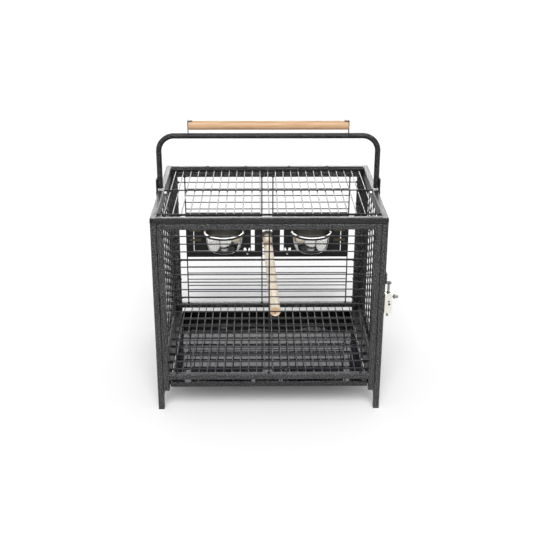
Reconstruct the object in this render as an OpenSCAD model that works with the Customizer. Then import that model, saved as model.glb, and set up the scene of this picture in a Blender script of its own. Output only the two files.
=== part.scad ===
// Bird travel carrier: a tube and wire cage with a carry handle, feeder doors and a slide-out tray.
// Origin: centre of the footprint on the floor. X is the width, -Y is the front, +Z is up.

/* [Body] */
// Width over the corner legs
cage_w = 483; // [420:1:560]
// Depth over the corner legs
cage_d = 368; // [340:1:420]
// Height of the corner legs, up to the lid
body_h = 432; // [405:1:480]
// Side of the square frame tube
tube = 12.7; // [11:0.1:15]
// Wall of the square frame tube
tube_wall = 1.2; // [0.8:0.1:1.6]
// Height of the lower rails above the floor
rail_z = 73; // [66:1:84]
// Height of the front and back posts above the floor
post_z = 46; // [36:1:54]
// How far each foot flares out under its post
flare_w = 4; // [1:0.5:6]
// Height of the foot flare
flare_h = 21; // [10:1:24]
// Thickness of the plastic plug under each leg
foot_t = 2; // [1:0.5:3]
// Diameter of the panel, lid and grip screws
screw_d = 4; // [3:0.5:4]
// Diameter of the vent holes in the lid's front corners
vent_d = 3.5; // [2:0.5:5]
// Height of the lower panel screws above the ends of the posts
screw_low = 104; // [60:1:130]
// Distance of the upper panel screws below the top rails
screw_high = 69; // [40:1:95]
// How far each plug reaches up into its leg
plug_in = 10; // [6:1:20]
// Gap between a leg and the post beside it
seam = 0.3; // [0.2:0.05:0.6]

/* [Wires] */
// Diameter of the thin grille wires
wire = 2.5; // [2:0.1:3]
// Diameter of the stout cross wires that carry each grille
stout = 3; // [2.5:0.1:3.5]
// Vertical spacing of the level wires
wire_pitch = 17; // [16:0.1:17.4]
// Distance of the top level wire below the top rails
wire_drop = 15; // [10:0.1:17]
// Distance of the outer upright wires from the posts
upright_in = 17.3; // [13:0.1:25]
// Distance from the cage centre to the back middle uprights
mid_x = 13.3; // [12.5:0.1:18]
// Spacing of the upright wires in the two side grilles
side_pitch = 36; // [30:1:40]
// Spacing of the front to back wires in the lid and floor grate
mat_pitch = 18; // [17:0.1:18.2]
// Distance from the cage centre to the outer cross wires of the lid
lid_cross_y = 156; // [140:1:160]
// Spacing of the cross wires in the floor grate
grate_pitch = 36; // [30:1:38]
// Distance from the cage centre to the rear cross wire of the grate
grate_back_y = 110; // [100:1:130]
// Clear space between two wires that cross at a weld
weld = 0.02; // [0.01:0.01:0.05]

/* [Handle] */
// Distance of each handle leg in from the side of the cage
handle_in = 4; // [1.5:0.5:5]
// Height of the handle's top bar above the floor
handle_z = 567; // [540:1:620]
// Diameter of the handle tube
handle_d = 12; // [10:0.5:14]
// Wall of the handle tube
handle_wall = 1.5; // [1:0.1:2]
// Bend radius of the handle at its centre line
bend_r = 34; // [25:1:45]
// Gap between the lid and the handle's open tube ends
handle_lift = 4.3; // [2:0.1:6]
// Thickness of the tabs that bolt the handle on
tab_t = 3; // [2:0.5:4]
// Width of the handle tabs
tab_w = 16; // [14:1:22]
// Distance that each tab hangs below the lid's top
tab_drop = 20; // [15:1:24]
// Length of each tab on the handle tube
tab_grip = 22; // [15:1:30]
// Diameter of the handle bolts
bolt_d = 5; // [4:0.5:6]
// Length of the wooden grip
grip_len = 344; // [300:1:360]
// Diameter of the wooden grip
grip_d = 19.5; // [17:0.5:24]
// Depth of the screw hole in each end of the grip
grip_bore = 22; // [20:1:30]
// Clear height between the handle tube and the grip
grip_gap = 7.5; // [5:0.5:14]
// Thickness of the strap at each end of the grip
strap_t = 1.5; // [1.2:0.1:3]
// Width of the grip straps
strap_w = 12; // [10:1:16]
// Length of the strap lip that laps over the grip
lip_len = 9; // [6:1:14]

/* [Side door] */
// Clearance round the side door
door_gap = 1.5; // [1:0.1:2.5]
// Width of the flat bars of the side door
door_bar = 12.7; // [10:0.1:16]
// Thickness of the flat bars of the side door
door_bar_t = 4; // [3:0.5:5]
// Diameter of the rod that the side door turns on
door_rod_d = 6; // [5:0.5:7]
// Radial clearance of the door rod in its holes
pin_fit = 0.05; // [0.02:0.01:0.1]
// How far the door rod reaches into each rail
rod_reach = 8; // [4:0.5:10]
// Distance of the door rod from the rear leg
hinge_inset = 7; // [6.5:0.1:8]

/* [Latch] */
// Height of the latch housing's lower end above the floor
latch_z = 232; // [200:1:260]
// Height of the latch housing
latch_h = 45; // [38:1:52]
// Distance that the latch housing stands out from the door
latch_out = 15; // [13:0.5:18]
// Depth of the latch housing, front to back
latch_w = 15; // [13:0.5:18]
// Sheet thickness of the latch housing
latch_t = 1.5; // [1:0.1:2]
// Diameter of the latch rod
rod_d = 5; // [4:0.1:5.5]
// How far the latch rod stands above its housing at rest
rod_up = 19; // [12:1:22]
// How far the latch rod stands below its housing at rest
rod_down = 9; // [5:1:14]
// Radial clearance of the latch rod in its holes
rod_fit = 0.1; // [0.05:0.01:0.1]
// Travel of the latch rod up into its keeper
rod_travel = 6; // [5.5:0.1:6.5]
// Distance of the knob below the upper end of the housing
knob_drop = 9.5; // [9.5:0.1:14]
// Diameter of the knob's round flange
knob_d = 9.5; // [8:0.5:11]
// Diameter of the larger hole in the latch housing's front
keyhole_d = 5; // [3:0.5:6]
// Clear space between the latch rod's tip and the keeper
keeper_gap = 2; // [1:0.5:3]
// Thickness of the keeper's eye
keeper_t = 2.5; // [2:0.1:4]
// Height of the keeper's plate
keeper_h = 24; // [18:1:30]

/* [Feeders] */
// Lower edge of the feeder sheets above the floor
sheet_z = 212; // [208:1:215]
// Height of the feeder sheets
sheet_h = 117; // [108:1:120]
// Thickness of the feeder sheets and doors
sheet_t = 1.2; // [1:0.1:1.6]
// Width of the sheet border round each feeder opening
border = 16.5; // [14:0.5:18]
// Slit beside the free edge of each feeder door
slit = 9; // [8:0.5:12]
// Gap on each side of the hinge pin of a feeder door
feeder_gap = 1.7; // [1.6:0.1:2.2]
// Gap above and below each feeder door
feeder_play = 0.5; // [0.4:0.1:1.5]
// Diameter of the small hinge barrels
barrel_d = 3; // [2.8:0.1:3]
// Diameter of the small hinge pins
pin_d = 1.6; // [1.4:0.1:1.8]
// Length of each small hinge
hinge_h = 7; // [6:1:12]
// Distance between the two hinges of a feeder door
hinge_span = 26; // [24:1:50]
// Thickness of the hinge leaves
leaf_t = 0.8; // [0.6:0.1:1]
// Width of the notch in each feeder door's lower edge
notch_w = 16; // [12:1:20]
// Height of the notch in each feeder door's lower edge
notch_h = 7; // [5:0.5:10]

/* [Cups] */
// Outer radius of the cup's rim
cup_r = 48; // [44:0.5:48.5]
// Outer radius of the cup just under its rim
cup_body_r = 44.5; // [42:0.5:45]
// Outer radius of the cup's flat bottom
cup_foot_r = 29; // [24:0.5:34]
// Height of the cup
cup_h = 46; // [38:1:50]
// Sheet thickness of the cup
cup_t = 1; // [0.8:0.1:1.2]
// Height of the cup's rim above the floor
cup_top = 303; // [298:1:306]
// Distance from the cage centre to each cup's centre
cup_x = 104; // [102:0.5:105]
// Distance from the feeder door to the cup's centre
cup_out = 61; // [58:0.5:62]
// Diameter of the ring wire that holds a cup
ring_d = 4; // [3:0.1:4.5]
// Clear space between cup and ring
cup_gap = 0.4; // [0.3:0.1:0.6]

/* [Perch and tray] */
// Diameter of the perch
perch_d = 22; // [18:0.5:24]
// Sideways place of the perch's front end
perch_front_x = 13; // [12.6:0.1:16]
// Sideways place of the perch's rear end
perch_back_x = 0; // [-1:0.1:1]
// Height of the perch's front end above the floor
perch_front_z = 233; // [230:0.5:240]
// Height of the perch's rear end above the floor
perch_back_z = 262; // [256:0.5:266]
// Clearance of the perch's slot round its wire
slot_gap = 0.4; // [0.3:0.1:0.8]
// Thickness of the perch washers
washer_t = 1.5; // [1:0.1:2]
// Height of the tray's floor above the ground
tray_z = 56; // [54:0.5:60]
// Height of the tray's walls
tray_h = 11; // [9:0.5:12]
// Sheet thickness of the tray
tray_t = 1.2; // [1:0.1:1.6]
// Side clearance of the tray between the posts
tray_gap = 2.5; // [1:0.5:4]
// Sheet thickness of the runners
runner_t = 1.5; // [1:0.1:2]
// How far the runners' lower lip reaches under the tray
runner_lap = 9; // [6:1:14]
// Height of the runners' upper ledge, which carries the grate
ledge_z = 74; // [72:0.5:78]

/* [Hidden] */
$fn = 48;
charcoal = [0.24, 0.24, 0.25];
black = [0.1, 0.1, 0.11];
nickel = [0.8, 0.78, 0.72];
steel = [0.75, 0.75, 0.75];
wood = [0.85, 0.68, 0.5];
perch_wood = [0.88, 0.8, 0.7];

// How far a cut runs past the face it opens
cut = 1;
// How far two parts of one welded piece run into each other
melt = 0.4;
// Overlap of two tubes that butt in one frame
bite = 0.01;
// Radial clearance of screws and bolts in their holes
screw_fit = 0.15;

half_w = cage_w / 2;
half_d = cage_d / 2;
leg_in = half_w - tube;
post_out = leg_in - seam;
post_in = post_out - tube;
side_in = half_d - tube;
top_rail_z = body_h - tube;
rail_top = rail_z + tube;
lid_z = body_h + seam;
lid_top = lid_z + tube;
tube_mid_y = half_d - tube / 2;

wire_top = top_rail_z - wire_drop;
upright_x = post_in - upright_in;
level_last = floor((wire_top - rail_top - wire) / wire_pitch);
tied = [0, 5, 12, level_last];
upright_y = tube_mid_y - stout / 2;
level_y = upright_y + (stout + wire) / 2 + weld;
side_level_x = half_w - tube / 2;
side_upright_x = side_level_x - (stout + wire) / 2 - weld;
side_uprights = floor((side_in - side_pitch / 4) / side_pitch);

lid_cross_z = lid_top - stout / 2;
lid_mat_z = lid_cross_z - (stout + wire) / 2 - weld;
lid_mat = floor((leg_in - mat_pitch / 3) / mat_pitch);
grate_cross_z = ledge_z + stout / 2 + weld;
grate_mat_z = grate_cross_z + (stout + wire) / 2 + weld;
grate_mat = floor((post_in - wire) / mat_pitch + 0.5);
grate_crosses = floor((grate_back_y + side_in - grate_pitch / 3) / grate_pitch);

screw_head_h = 1.2;
panel_screw_z = [post_z + screw_low, top_rail_z - screw_high];
lid_screw_x = [-143, -52, 52, 143];
vent_x = half_w - 3.5;
bolt_z = lid_z + tube * 0.42;
handle_foot = lid_top + handle_lift;
handle_x = half_w - handle_in;
tab_x = handle_x + handle_d / 2 - melt;
tab_low = lid_top - tab_drop;
tab_high = handle_foot + tab_grip;
nut_af = bolt_d + 3;
nut_t = bolt_d * 0.8;
grip_z = handle_z + handle_d / 2 + grip_gap + grip_d / 2;
strap_top = grip_z + grip_d / 2 + seam;

door_x = half_w + seam - door_bar_t;
door_front = -side_in + door_gap;
door_low = rail_top + door_gap;
door_high = top_rail_z - door_gap;
hinge_x = door_x - door_rod_d / 2 + door_bar_t * 0.4;
hinge_y = side_in - hinge_inset;
door_wire_x = door_x - wire / 2 - weld;
door_upright_x = door_wire_x - (wire + stout) / 2 - weld;

latch_x = half_w + seam;
latch_y = -tube_mid_y;
latch_rod_x = latch_x + latch_out / 2;
rod_low = latch_z - rod_down;
rod_high = latch_z + latch_h + rod_up;
keeper_low = rod_high + keeper_gap;
stem_d = rod_d * 0.48;
stem_z = latch_z + latch_h - knob_drop;
stem_fit = 0.3;
rivet_d = 3;
latch_rivet_y = door_front + door_bar / 2;
keeper_rivet_z = [keeper_low + keeper_h * 0.45, keeper_low + keeper_h * 0.8];

sheet_y = upright_y - stout / 2 - sheet_t / 2 - weld;
sheet_in = mid_x + stout / 2;
feeder_in = sheet_in + border;
door_in = feeder_in + slit;
feeder_out = upright_x - border;
barrel_x = feeder_out - feeder_gap;
feeder_low = sheet_z + border;
feeder_high = sheet_z + sheet_h - border;
feeder_mid = (feeder_low + feeder_high) / 2;
leaf_fixed = border * 0.55;
leaf_door = hinge_h * 2.2;
leaf_y = sheet_y - sheet_t / 2 - leaf_t;
turn_x = door_in + 9;
turn_z = sheet_z + border / 2;
turn_t = 2;
turn_len = border / 2 + feeder_play + notch_h;
turn_y = sheet_y + sheet_t / 2 + 0.3;
turn_rivet_d = 3;

cup_y = sheet_y - sheet_t / 2 - cup_out;
rim_t = 1.2;
ring_r = cup_body_r + cup_gap + ring_d / 2;
ring_z = cup_top - rim_t - cup_gap - ring_d / 2;
ring_arm_x = ring_r * 0.6;
ring_strap_t = 1.5;

perch_front_y = -level_y - wire / 2;
perch_back_y = upright_y - stout / 2 - washer_t - weld;
perch_wire_z = wire_top - wire_pitch * round((wire_top - perch_front_z) / wire_pitch);
perch_run = [perch_back_x - perch_front_x, perch_back_y - perch_front_y, perch_back_z - perch_front_z];
inner_washer_d = 2 * (mid_x - seam);
outer_washer_d = 2 * mid_x + 3 * stout;
perch_bolt_in = 24;
wing_nut_h = 7;
wing_d = 9;

tray_half = post_in - tray_gap;
tray_back = side_in - 4;
runner_low = tray_z - runner_t - weld;
runner_in = tray_half - runner_lap;

// Rods along each axis, from one end to the other
module rod_x(x0, x1, y, z, d) {
  translate([x0, y, z]) rotate([0, 90, 0]) cylinder(h = x1 - x0, d = d);
}

module rod_y(x, y0, y1, z, d) {
  translate([x, y1, z]) rotate([90, 0, 0]) cylinder(h = y1 - y0, d = d);
}

module rod_z(x, y, z0, z1, d) {
  translate([x, y, z0]) cylinder(h = z1 - z0, d = d);
}

// A box given by its two corners
module block(low, high) {
  translate(low) cube(high - low);
}

// The inside of a square tube that runs along an axis: 0, 1 or 2 for X, Y or Z
module bore(low, high, axis) {
  inset = [for (i = [0:2]) i == axis ? 0 : tube_wall];
  block(low + inset, high - inset);
}

// The same shape on the right and on the left
module both_sides() {
  children();
  mirror([1, 0, 0]) children();
}

// The same shape at the front and at the back
module both_ends() {
  children();
  mirror([0, 1, 0]) children();
}

// A flare that widens the front leg under its post
module foot_flare() {
  translate([0, -side_in, 0]) rotate([90, 0, 0]) linear_extrude(tube) polygon([
    [leg_in + tube_wall / 2, post_z - seam - flare_h], [leg_in, post_z - seam - flare_h],
    [leg_in - flare_w * 0.1, post_z - seam - flare_h * 0.7],
    [leg_in - flare_w * 0.35, post_z - seam - flare_h * 0.38],
    [leg_in - flare_w, post_z - seam], [leg_in + tube_wall / 2, post_z - seam]
  ]);
}

// A side frame: two legs and two rails of square tube, drawn on the right
module side_frame() {
  difference() {
    union() {
      both_ends() {
        block([leg_in, -half_d, foot_t], [half_w, -side_in, body_h]);
        foot_flare();
      }
      block([leg_in, -side_in - bite, top_rail_z], [half_w, side_in + bite, body_h]);
      block([leg_in, -side_in - bite, rail_z], [half_w, side_in + bite, rail_top]);
    }
    both_ends() {
      bore([leg_in, -half_d, foot_t - cut], [half_w, -side_in, body_h - tube_wall], 2);
      for (z = panel_screw_z)
        rod_x(leg_in - cut, leg_in + tube_wall + cut, tube_mid_y, z, screw_d + 2 * screw_fit);
    }
    bore([leg_in, -side_in, top_rail_z], [half_w, side_in, body_h], 1);
    bore([leg_in, -side_in, rail_z], [half_w, side_in, rail_top], 1);
  }
}

module left_side_frame() {
  color(charcoal) mirror([1, 0, 0]) side_frame();
}

// The right side frame also has the holes of the door rod and the latch keeper
module right_side_frame() {
  hole = door_rod_d + 2 * pin_fit;
  color(charcoal) difference() {
    side_frame();
    rod_z(hinge_x, hinge_y, rail_top - tube_wall - cut, rail_top + cut, hole);
    rod_z(hinge_x, hinge_y, top_rail_z - cut, top_rail_z + tube_wall + cut, hole);
    for (z = keeper_rivet_z)
      rod_x(half_w - tube_wall - cut, half_w + cut, latch_y, z, rivet_d + 2 * screw_fit);
  }
}

// A front or back panel frame: two posts and two rails, drawn at the front
module panel_frame() {
  difference() {
    union() {
      both_sides() block([post_in, -half_d, post_z], [post_out, -side_in, body_h]);
      block([-post_in - bite, -half_d, top_rail_z], [post_in + bite, -side_in, body_h]);
      block([-post_in - bite, -half_d, rail_z], [post_in + bite, -side_in, rail_top]);
    }
    both_sides() {
      bore([post_in, -half_d, post_z - cut], [post_out, -side_in, body_h - tube_wall], 2);
      for (z = panel_screw_z)
        rod_x(post_in - cut, post_out + cut, -tube_mid_y, z, screw_d + 2 * screw_fit);
    }
    bore([-post_in, -half_d, top_rail_z], [post_in, -side_in, body_h], 0);
    bore([-post_in, -half_d, rail_z], [post_in, -side_in, rail_top], 0);
  }
}

module front_panel_frame() {
  color(charcoal) panel_frame();
}

module back_panel_frame() {
  color(charcoal) difference() {
    mirror([0, 1, 0]) panel_frame();
    for (x = lid_screw_x)
      rod_z(x, tube_mid_y, body_h - tube_wall - cut, body_h + cut, screw_d + 2 * screw_fit);
  }
}

// The lid frame: four rails of square tube, with the handle bolts' holes
module lid_frame() {
  color(charcoal) difference() {
    block([-half_w, -half_d, lid_z], [half_w, half_d, lid_top]);
    block([-leg_in, -side_in, lid_z - cut], [leg_in, side_in, lid_top + cut]);
    both_sides() {
      bore([leg_in, -half_d + tube_wall, lid_z], [half_w, half_d - tube_wall, lid_top], 1);
      rod_x(leg_in - cut, half_w + cut, 0, bolt_z, bolt_d + 2 * screw_fit);
      rod_y(vent_x, -half_d - cut, -half_d + tube_wall + cut, lid_z + tube / 2, vent_d);
    }
    both_ends() bore([-leg_in, -half_d, lid_z], [leg_in, -side_in, lid_top], 0);
    for (x = lid_screw_x)
      rod_z(x, tube_mid_y, lid_z - cut, lid_top + cut, screw_d + 2 * screw_fit);
  }
}

// How far a level wire reaches from the middle: the tied ones meet the posts
function level_reach(k) = len(search(k, tied)) > 0 ? post_in : upright_x + stout / 2;

function level_z(k) = wire_top - wire_pitch * k;

module front_grille() {
  color(black) {
    for (k = [0:level_last]) rod_x(-level_reach(k), level_reach(k), -level_y, level_z(k), wire);
    for (x = [-upright_x, 0, upright_x]) rod_z(x, -upright_y, rail_top, top_rail_z, stout);
  }
}

// The back grille leaves out the level wires that would cross the feeder openings
module back_grille() {
  color(black) {
    for (k = [0:level_last]) {
      crosses = level_z(k) > feeder_low - wire && level_z(k) < feeder_high + wire;
      reach = crosses ? sheet_in : level_reach(k);
      rod_x(-reach, reach, level_y, level_z(k), wire);
    }
    for (x = [-upright_x, -mid_x, mid_x, upright_x])
      rod_z(x, upright_y, rail_top, top_rail_z, stout);
  }
}

module left_side_grille() {
  color(black) mirror([1, 0, 0]) {
    for (k = [0:level_last]) rod_y(side_level_x, -side_in, side_in, level_z(k), wire);
    for (i = [-side_uprights:side_uprights])
      rod_z(side_upright_x, i * side_pitch, rail_top, top_rail_z, stout);
  }
}

module lid_grille() {
  reach = lid_cross_y + stout / 2;
  color(black) {
    for (y = [-lid_cross_y, 0, lid_cross_y]) rod_x(-leg_in, leg_in, y, lid_cross_z, stout);
    for (i = [-lid_mat:lid_mat]) rod_y(i * mat_pitch, -reach, reach, lid_mat_z, wire);
  }
}

// Plastic plugs that close the legs
module foot_plugs() {
  play = tube_wall + 0.1;
  color(black) both_sides() both_ends() {
    block([leg_in, -half_d, 0], [half_w, -side_in, foot_t]);
    block([leg_in + play, -half_d + play, foot_t - bite], [half_w - play, -side_in - play, foot_t + plug_in]);
  }
}

// A screw along +X with its head's seat at x = 0
module screw_x(length, head_d, shank_d) {
  rotate([0, 90, 0]) {
    translate([0, 0, -screw_head_h]) cylinder(h = screw_head_h, d1 = head_d * 0.7, d2 = head_d);
    cylinder(h = length, d = shank_d);
  }
}

module panel_screws() {
  color(black) both_sides() both_ends() for (z = panel_screw_z)
    translate([post_in, tube_mid_y, z]) screw_x(tube + seam + tube_wall + 2, screw_d + 3, screw_d);
}

module lid_screws() {
  color(black) for (x = lid_screw_x) translate([x, tube_mid_y, lid_top])
    rotate([0, 90, 0]) screw_x(tube + seam + tube_wall + 2, screw_d + 3, screw_d);
}

// The run of the handle at its centre line, drawn as a solid of any diameter
module handle_run(d, foot) {
  both_sides() {
    rod_z(handle_x, 0, foot, handle_z - bend_r, d);
    translate([handle_x - bend_r, 0, handle_z - bend_r]) rotate([90, 0, 0])
      rotate_extrude(angle = 90) translate([bend_r, 0]) circle(d = d);
  }
  rod_x(-handle_x + bend_r, handle_x - bend_r, 0, handle_z, d);
}

module handle_tube() {
  color(charcoal) difference() {
    union() {
      handle_run(handle_d, handle_foot);
      both_sides() block([tab_x, -tab_w / 2, tab_low], [tab_x + tab_t, tab_w / 2, tab_high]);
    }
    handle_run(handle_d - 2 * handle_wall, handle_foot - cut);
    both_sides() rod_x(tab_x - cut, tab_x + tab_t + cut, 0, bolt_z, bolt_d + 2 * screw_fit);
  }
}

module handle_bolts() {
  color(black) both_sides() translate([tab_x + tab_t, 0, bolt_z])
    rotate([0, 0, 180]) screw_x(tab_x + tab_t - leg_in + nut_t + 1, bolt_d + 4, bolt_d);
}

module handle_spacers() {
  color(black) both_sides() difference() {
    rod_x(half_w, tab_x, 0, bolt_z, bolt_d + 4);
    rod_x(half_w - cut, tab_x + cut, 0, bolt_z, bolt_d + 2 * screw_fit);
  }
}

module handle_nuts() {
  color(nickel) both_sides() difference() {
    translate([leg_in - nut_t, 0, bolt_z]) rotate([0, 90, 0])
      rotate([0, 0, 30]) cylinder(h = nut_t, d = nut_af / cos(30), $fn = 6);
    rod_x(leg_in - nut_t - cut, leg_in + cut, 0, bolt_z, bolt_d + 2 * screw_fit);
  }
}

// Strips that stand on the handle and lap over the ends of the grip
module grip_straps() {
  x = grip_len / 2;
  color(black) both_sides() difference() {
    union() {
      block([x, -strap_w / 2, handle_z], [x + strap_t, strap_w / 2, strap_top + strap_t]);
      block([x - lip_len, -strap_w / 2, strap_top], [x + bite, strap_w / 2, strap_top + strap_t]);
    }
    rod_x(x - cut, x + strap_t + cut, 0, handle_z, handle_d + 2 * weld);
    block([x - cut, -strap_w, handle_z - cut], [x + strap_t + cut, strap_w, handle_z + handle_d / 4]);
    rod_x(x - cut, x + strap_t + cut, 0, grip_z, screw_d + 2 * screw_fit);
  }
}

module wooden_grip() {
  color(wood) difference() {
    rod_x(-grip_len / 2, grip_len / 2, 0, grip_z, grip_d);
    both_sides() rod_x(grip_len / 2 - grip_bore, grip_len / 2 + cut, 0, grip_z, screw_d + 2 * screw_fit);
  }
}

module grip_screws() {
  color(nickel) both_sides() translate([grip_len / 2 + strap_t, 0, grip_z])
    rotate([0, 0, 180]) screw_x(20, screw_d + 3, screw_d);
}

// The side door: flat bars on a rod that turns in the rails
module side_door_frame() {
  back = hinge_y - 1;
  color(charcoal) difference() {
    union() {
      block([door_x, door_front, door_low], [door_x + door_bar_t, door_front + door_bar, door_high]);
      block([door_x, back - door_bar, door_low], [door_x + door_bar_t, back, door_high]);
      block([door_x, door_front, door_high - door_bar], [door_x + door_bar_t, back, door_high]);
      block([door_x, door_front, door_low], [door_x + door_bar_t, back, door_low + door_bar]);
      rod_z(hinge_x, hinge_y, rail_top - rod_reach, top_rail_z + rod_reach, door_rod_d);
    }
    for (z = latch_rivet_z())
      rod_x(door_x - cut, latch_x + cut, latch_rivet_y, z, rivet_d + 2 * screw_fit);
  }
}

function latch_rivet_z() = [latch_z + 7, latch_z + latch_h - 7];

module side_door_grille() {
  back = hinge_y - door_rod_d / 2 - weld;
  color(black) {
    for (k = [0:level_last]) rod_y(door_wire_x, door_front, back, level_z(k), wire);
    for (i = [-side_uprights:side_uprights])
      rod_z(door_upright_x, i * side_pitch - door_gap, door_low, door_high, stout);
  }
}

// A pressed box that guides the rod, on a plate that reaches the door's front bar
module latch_housing() {
  x1 = latch_x + latch_out;
  y0 = latch_y - latch_w / 2;
  y1 = latch_y + latch_w / 2;
  top = latch_z + latch_h;
  color(nickel) difference() {
    union() {
      block([latch_x, y0, latch_z], [x1, y1, top]);
      block([latch_x, y0, latch_z], [latch_x + latch_t, door_front + door_bar - 1, top]);
    }
    block([latch_x + latch_t, y0 + latch_t, latch_z + latch_t],
          [x1 - latch_t, y1 - latch_t, top - latch_t]);
    rod_z(latch_rod_x, latch_y, latch_z - cut, top + cut, rod_d + 2 * rod_fit);
    block([x1 - latch_t - cut, latch_y - stem_d / 2 - stem_fit, stem_z - stem_d / 2 - stem_fit],
          [x1 + cut, latch_y + stem_d / 2 + stem_fit, stem_z + stem_d / 2 + stem_fit + rod_travel]);
    rod_y(latch_rod_x + 1, y0 - cut, y0 + latch_t + cut, latch_z + latch_h * 0.6, keyhole_d * 0.8);
    rod_y(latch_rod_x + 2, y0 - cut, y0 + latch_t + cut, latch_z + latch_h * 0.46, keyhole_d);
    for (z = latch_rivet_z())
      rod_x(latch_x - cut, latch_x + latch_t + cut, latch_rivet_y, z, rivet_d + 2 * screw_fit);
  }
}

module latch_rivets() {
  color(nickel) for (z = latch_rivet_z())
    translate([latch_x + latch_t, latch_rivet_y, z]) rotate([0, 0, 180])
      screw_x(latch_t + door_bar_t - 0.5, rivet_d * 2, rivet_d);
}

module latch_rod() {
  tip_h = rod_d / 4;
  color(nickel) difference() {
    union() {
      rod_z(latch_rod_x, latch_y, rod_low, rod_high - tip_h, rod_d);
      translate([latch_rod_x, latch_y, rod_high - tip_h])
        cylinder(h = tip_h, d1 = rod_d, d2 = rod_d * 0.6);
    }
    rod_x(latch_rod_x, latch_rod_x + rod_d, latch_y, stem_z, stem_d + 2 * weld);
  }
}

module latch_knob() {
  x1 = latch_x + latch_out + 3;
  color(nickel) translate([0, latch_y, stem_z]) rotate([0, 90, 0]) {
    translate([0, 0, latch_rod_x + weld]) cylinder(h = x1 - latch_rod_x, d = stem_d);
    translate([0, 0, x1]) cylinder(h = 1.5, d1 = knob_d * 0.6, d2 = knob_d);
    translate([0, 0, x1 + 1.5 - bite]) cylinder(h = 2.5, d = knob_d);
    translate([0, 0, x1 + 4 - 2 * bite]) cylinder(h = 6, d = knob_d * 0.6);
  }
}

// The keeper: a plate on the leg with an eye over the rod
module latch_keeper() {
  eye = rod_d + 6;
  color(black) difference() {
    union() {
      block([half_w, latch_y - eye / 2, keeper_low],
            [half_w + keeper_t, latch_y + eye / 2, keeper_low + keeper_h]);
      block([half_w, latch_y - eye / 2, keeper_low],
            [latch_rod_x, latch_y + eye / 2, keeper_low + keeper_t]);
      rod_z(latch_rod_x, latch_y, keeper_low, keeper_low + keeper_t, eye);
    }
    rod_z(latch_rod_x, latch_y, keeper_low - cut, keeper_low + keeper_t + cut, rod_d + 4 * rod_fit);
    for (z = keeper_rivet_z)
      rod_x(half_w - cut, half_w + keeper_t + cut, latch_y, z, rivet_d + 2 * screw_fit);
  }
}

module keeper_rivets() {
  color(black) for (z = keeper_rivet_z)
    translate([half_w + keeper_t, latch_y, z]) rotate([0, 0, 180])
      screw_x(keeper_t + tube_wall + 1, rivet_d * 1.8, rivet_d);
}

// Feeder hardware is drawn on the right and mirrored for the left
module feeder_sheet() {
  y0 = sheet_y - sheet_t / 2;
  y1 = sheet_y + sheet_t / 2;
  difference() {
    block([sheet_in - stout / 2, y0, sheet_z], [upright_x, y1, sheet_z + sheet_h]);
    block([feeder_in, y0 - cut, feeder_low], [feeder_out, y1 + cut, feeder_high]);
    rod_y(turn_x, y0 - cut, y1 + cut, turn_z, turn_rivet_d + 2 * screw_fit);
  }
}

module feeder_door() {
  y0 = sheet_y - sheet_t / 2;
  y1 = sheet_y + sheet_t / 2;
  difference() {
    block([door_in, y0, feeder_low + feeder_play], [barrel_x - feeder_gap, y1, feeder_high - feeder_play]);
    block([door_in + 2, y0 - cut, feeder_low],
          [door_in + 2 + notch_w, y1 + cut, feeder_low + feeder_play + notch_h]);
  }
}

function hinge_zs() = [feeder_mid - hinge_span / 2, feeder_mid + hinge_span / 2];

// The leaves on the sheet, each with a knuckle and the pin that stands in it
module fixed_leaves() {
  for (z = hinge_zs()) {
    block([barrel_x + feeder_gap, leaf_y, z - hinge_h / 2],
          [barrel_x + feeder_gap + leaf_fixed, leaf_y + leaf_t, z + hinge_h / 2]);
    block([barrel_x, leaf_y, z - hinge_h / 2],
          [barrel_x + feeder_gap + bite, leaf_y + leaf_t, z - pin_fit]);
    rod_z(barrel_x, sheet_y, z - hinge_h / 2, z - pin_fit, barrel_d);
    rod_z(barrel_x, sheet_y, z - hinge_h / 2, z + hinge_h / 2, pin_d);
  }
}

// The leaves on the feeder door, each with the knuckle that turns on the pin
module door_leaves() {
  difference() {
    for (z = hinge_zs()) {
      block([barrel_x - feeder_gap - leaf_door, leaf_y, z - hinge_h / 2],
            [barrel_x - feeder_gap, leaf_y + leaf_t, z + hinge_h / 2]);
      block([barrel_x - feeder_gap - bite, leaf_y, z + pin_fit],
            [barrel_x, leaf_y + leaf_t, z + hinge_h / 2]);
      rod_z(barrel_x, sheet_y, z + pin_fit, z + hinge_h / 2, barrel_d);
    }
    for (z = hinge_zs())
      rod_z(barrel_x, sheet_y, z - hinge_h, z + hinge_h, pin_d + 2 * pin_fit);
  }
}

// The ring that a cup hangs in, on a strap against the feeder door
module cup_ring() {
  arm_y = sqrt(ring_r * ring_r - ring_arm_x * ring_arm_x);
  face = sheet_y - sheet_t / 2;
  translate([cup_x, cup_y, ring_z]) rotate_extrude() translate([ring_r, 0]) circle(d = ring_d);
  for (s = [-1, 1])
    rod_y(cup_x + s * ring_arm_x, cup_y + arm_y, face - ring_strap_t / 2, ring_z, ring_d * 0.8);
  block([cup_x - ring_arm_x - 6, face - ring_strap_t, ring_z - 5],
        [cup_x + ring_arm_x + 6, face, ring_z + 5]);
}

// Outline of the cup's wall from its rim down to its foot, at one side
function cup_side(inset) = [
  for (t = [0:9:90]) [
    cup_foot_r - inset + (cup_body_r - cup_foot_r) * pow(sin(t), 0.8),
    cup_top - cup_h + inset + (cup_h - rim_t - inset) * pow(1 - cos(t), 1.1)
  ]
];

module cup() {
  outer = cup_side(0);
  inner = cup_side(cup_t);
  last = len(outer) - 1;
  translate([cup_x, cup_y, 0]) rotate_extrude() polygon(concat(
    [[0, outer[0][1]]], outer,
    [[cup_r, outer[last][1]], [cup_r, cup_top], [inner[last][0], cup_top]],
    [for (i = [last:-1:0]) inner[i]], [[0, inner[0][1]]]
  ));
}

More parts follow.
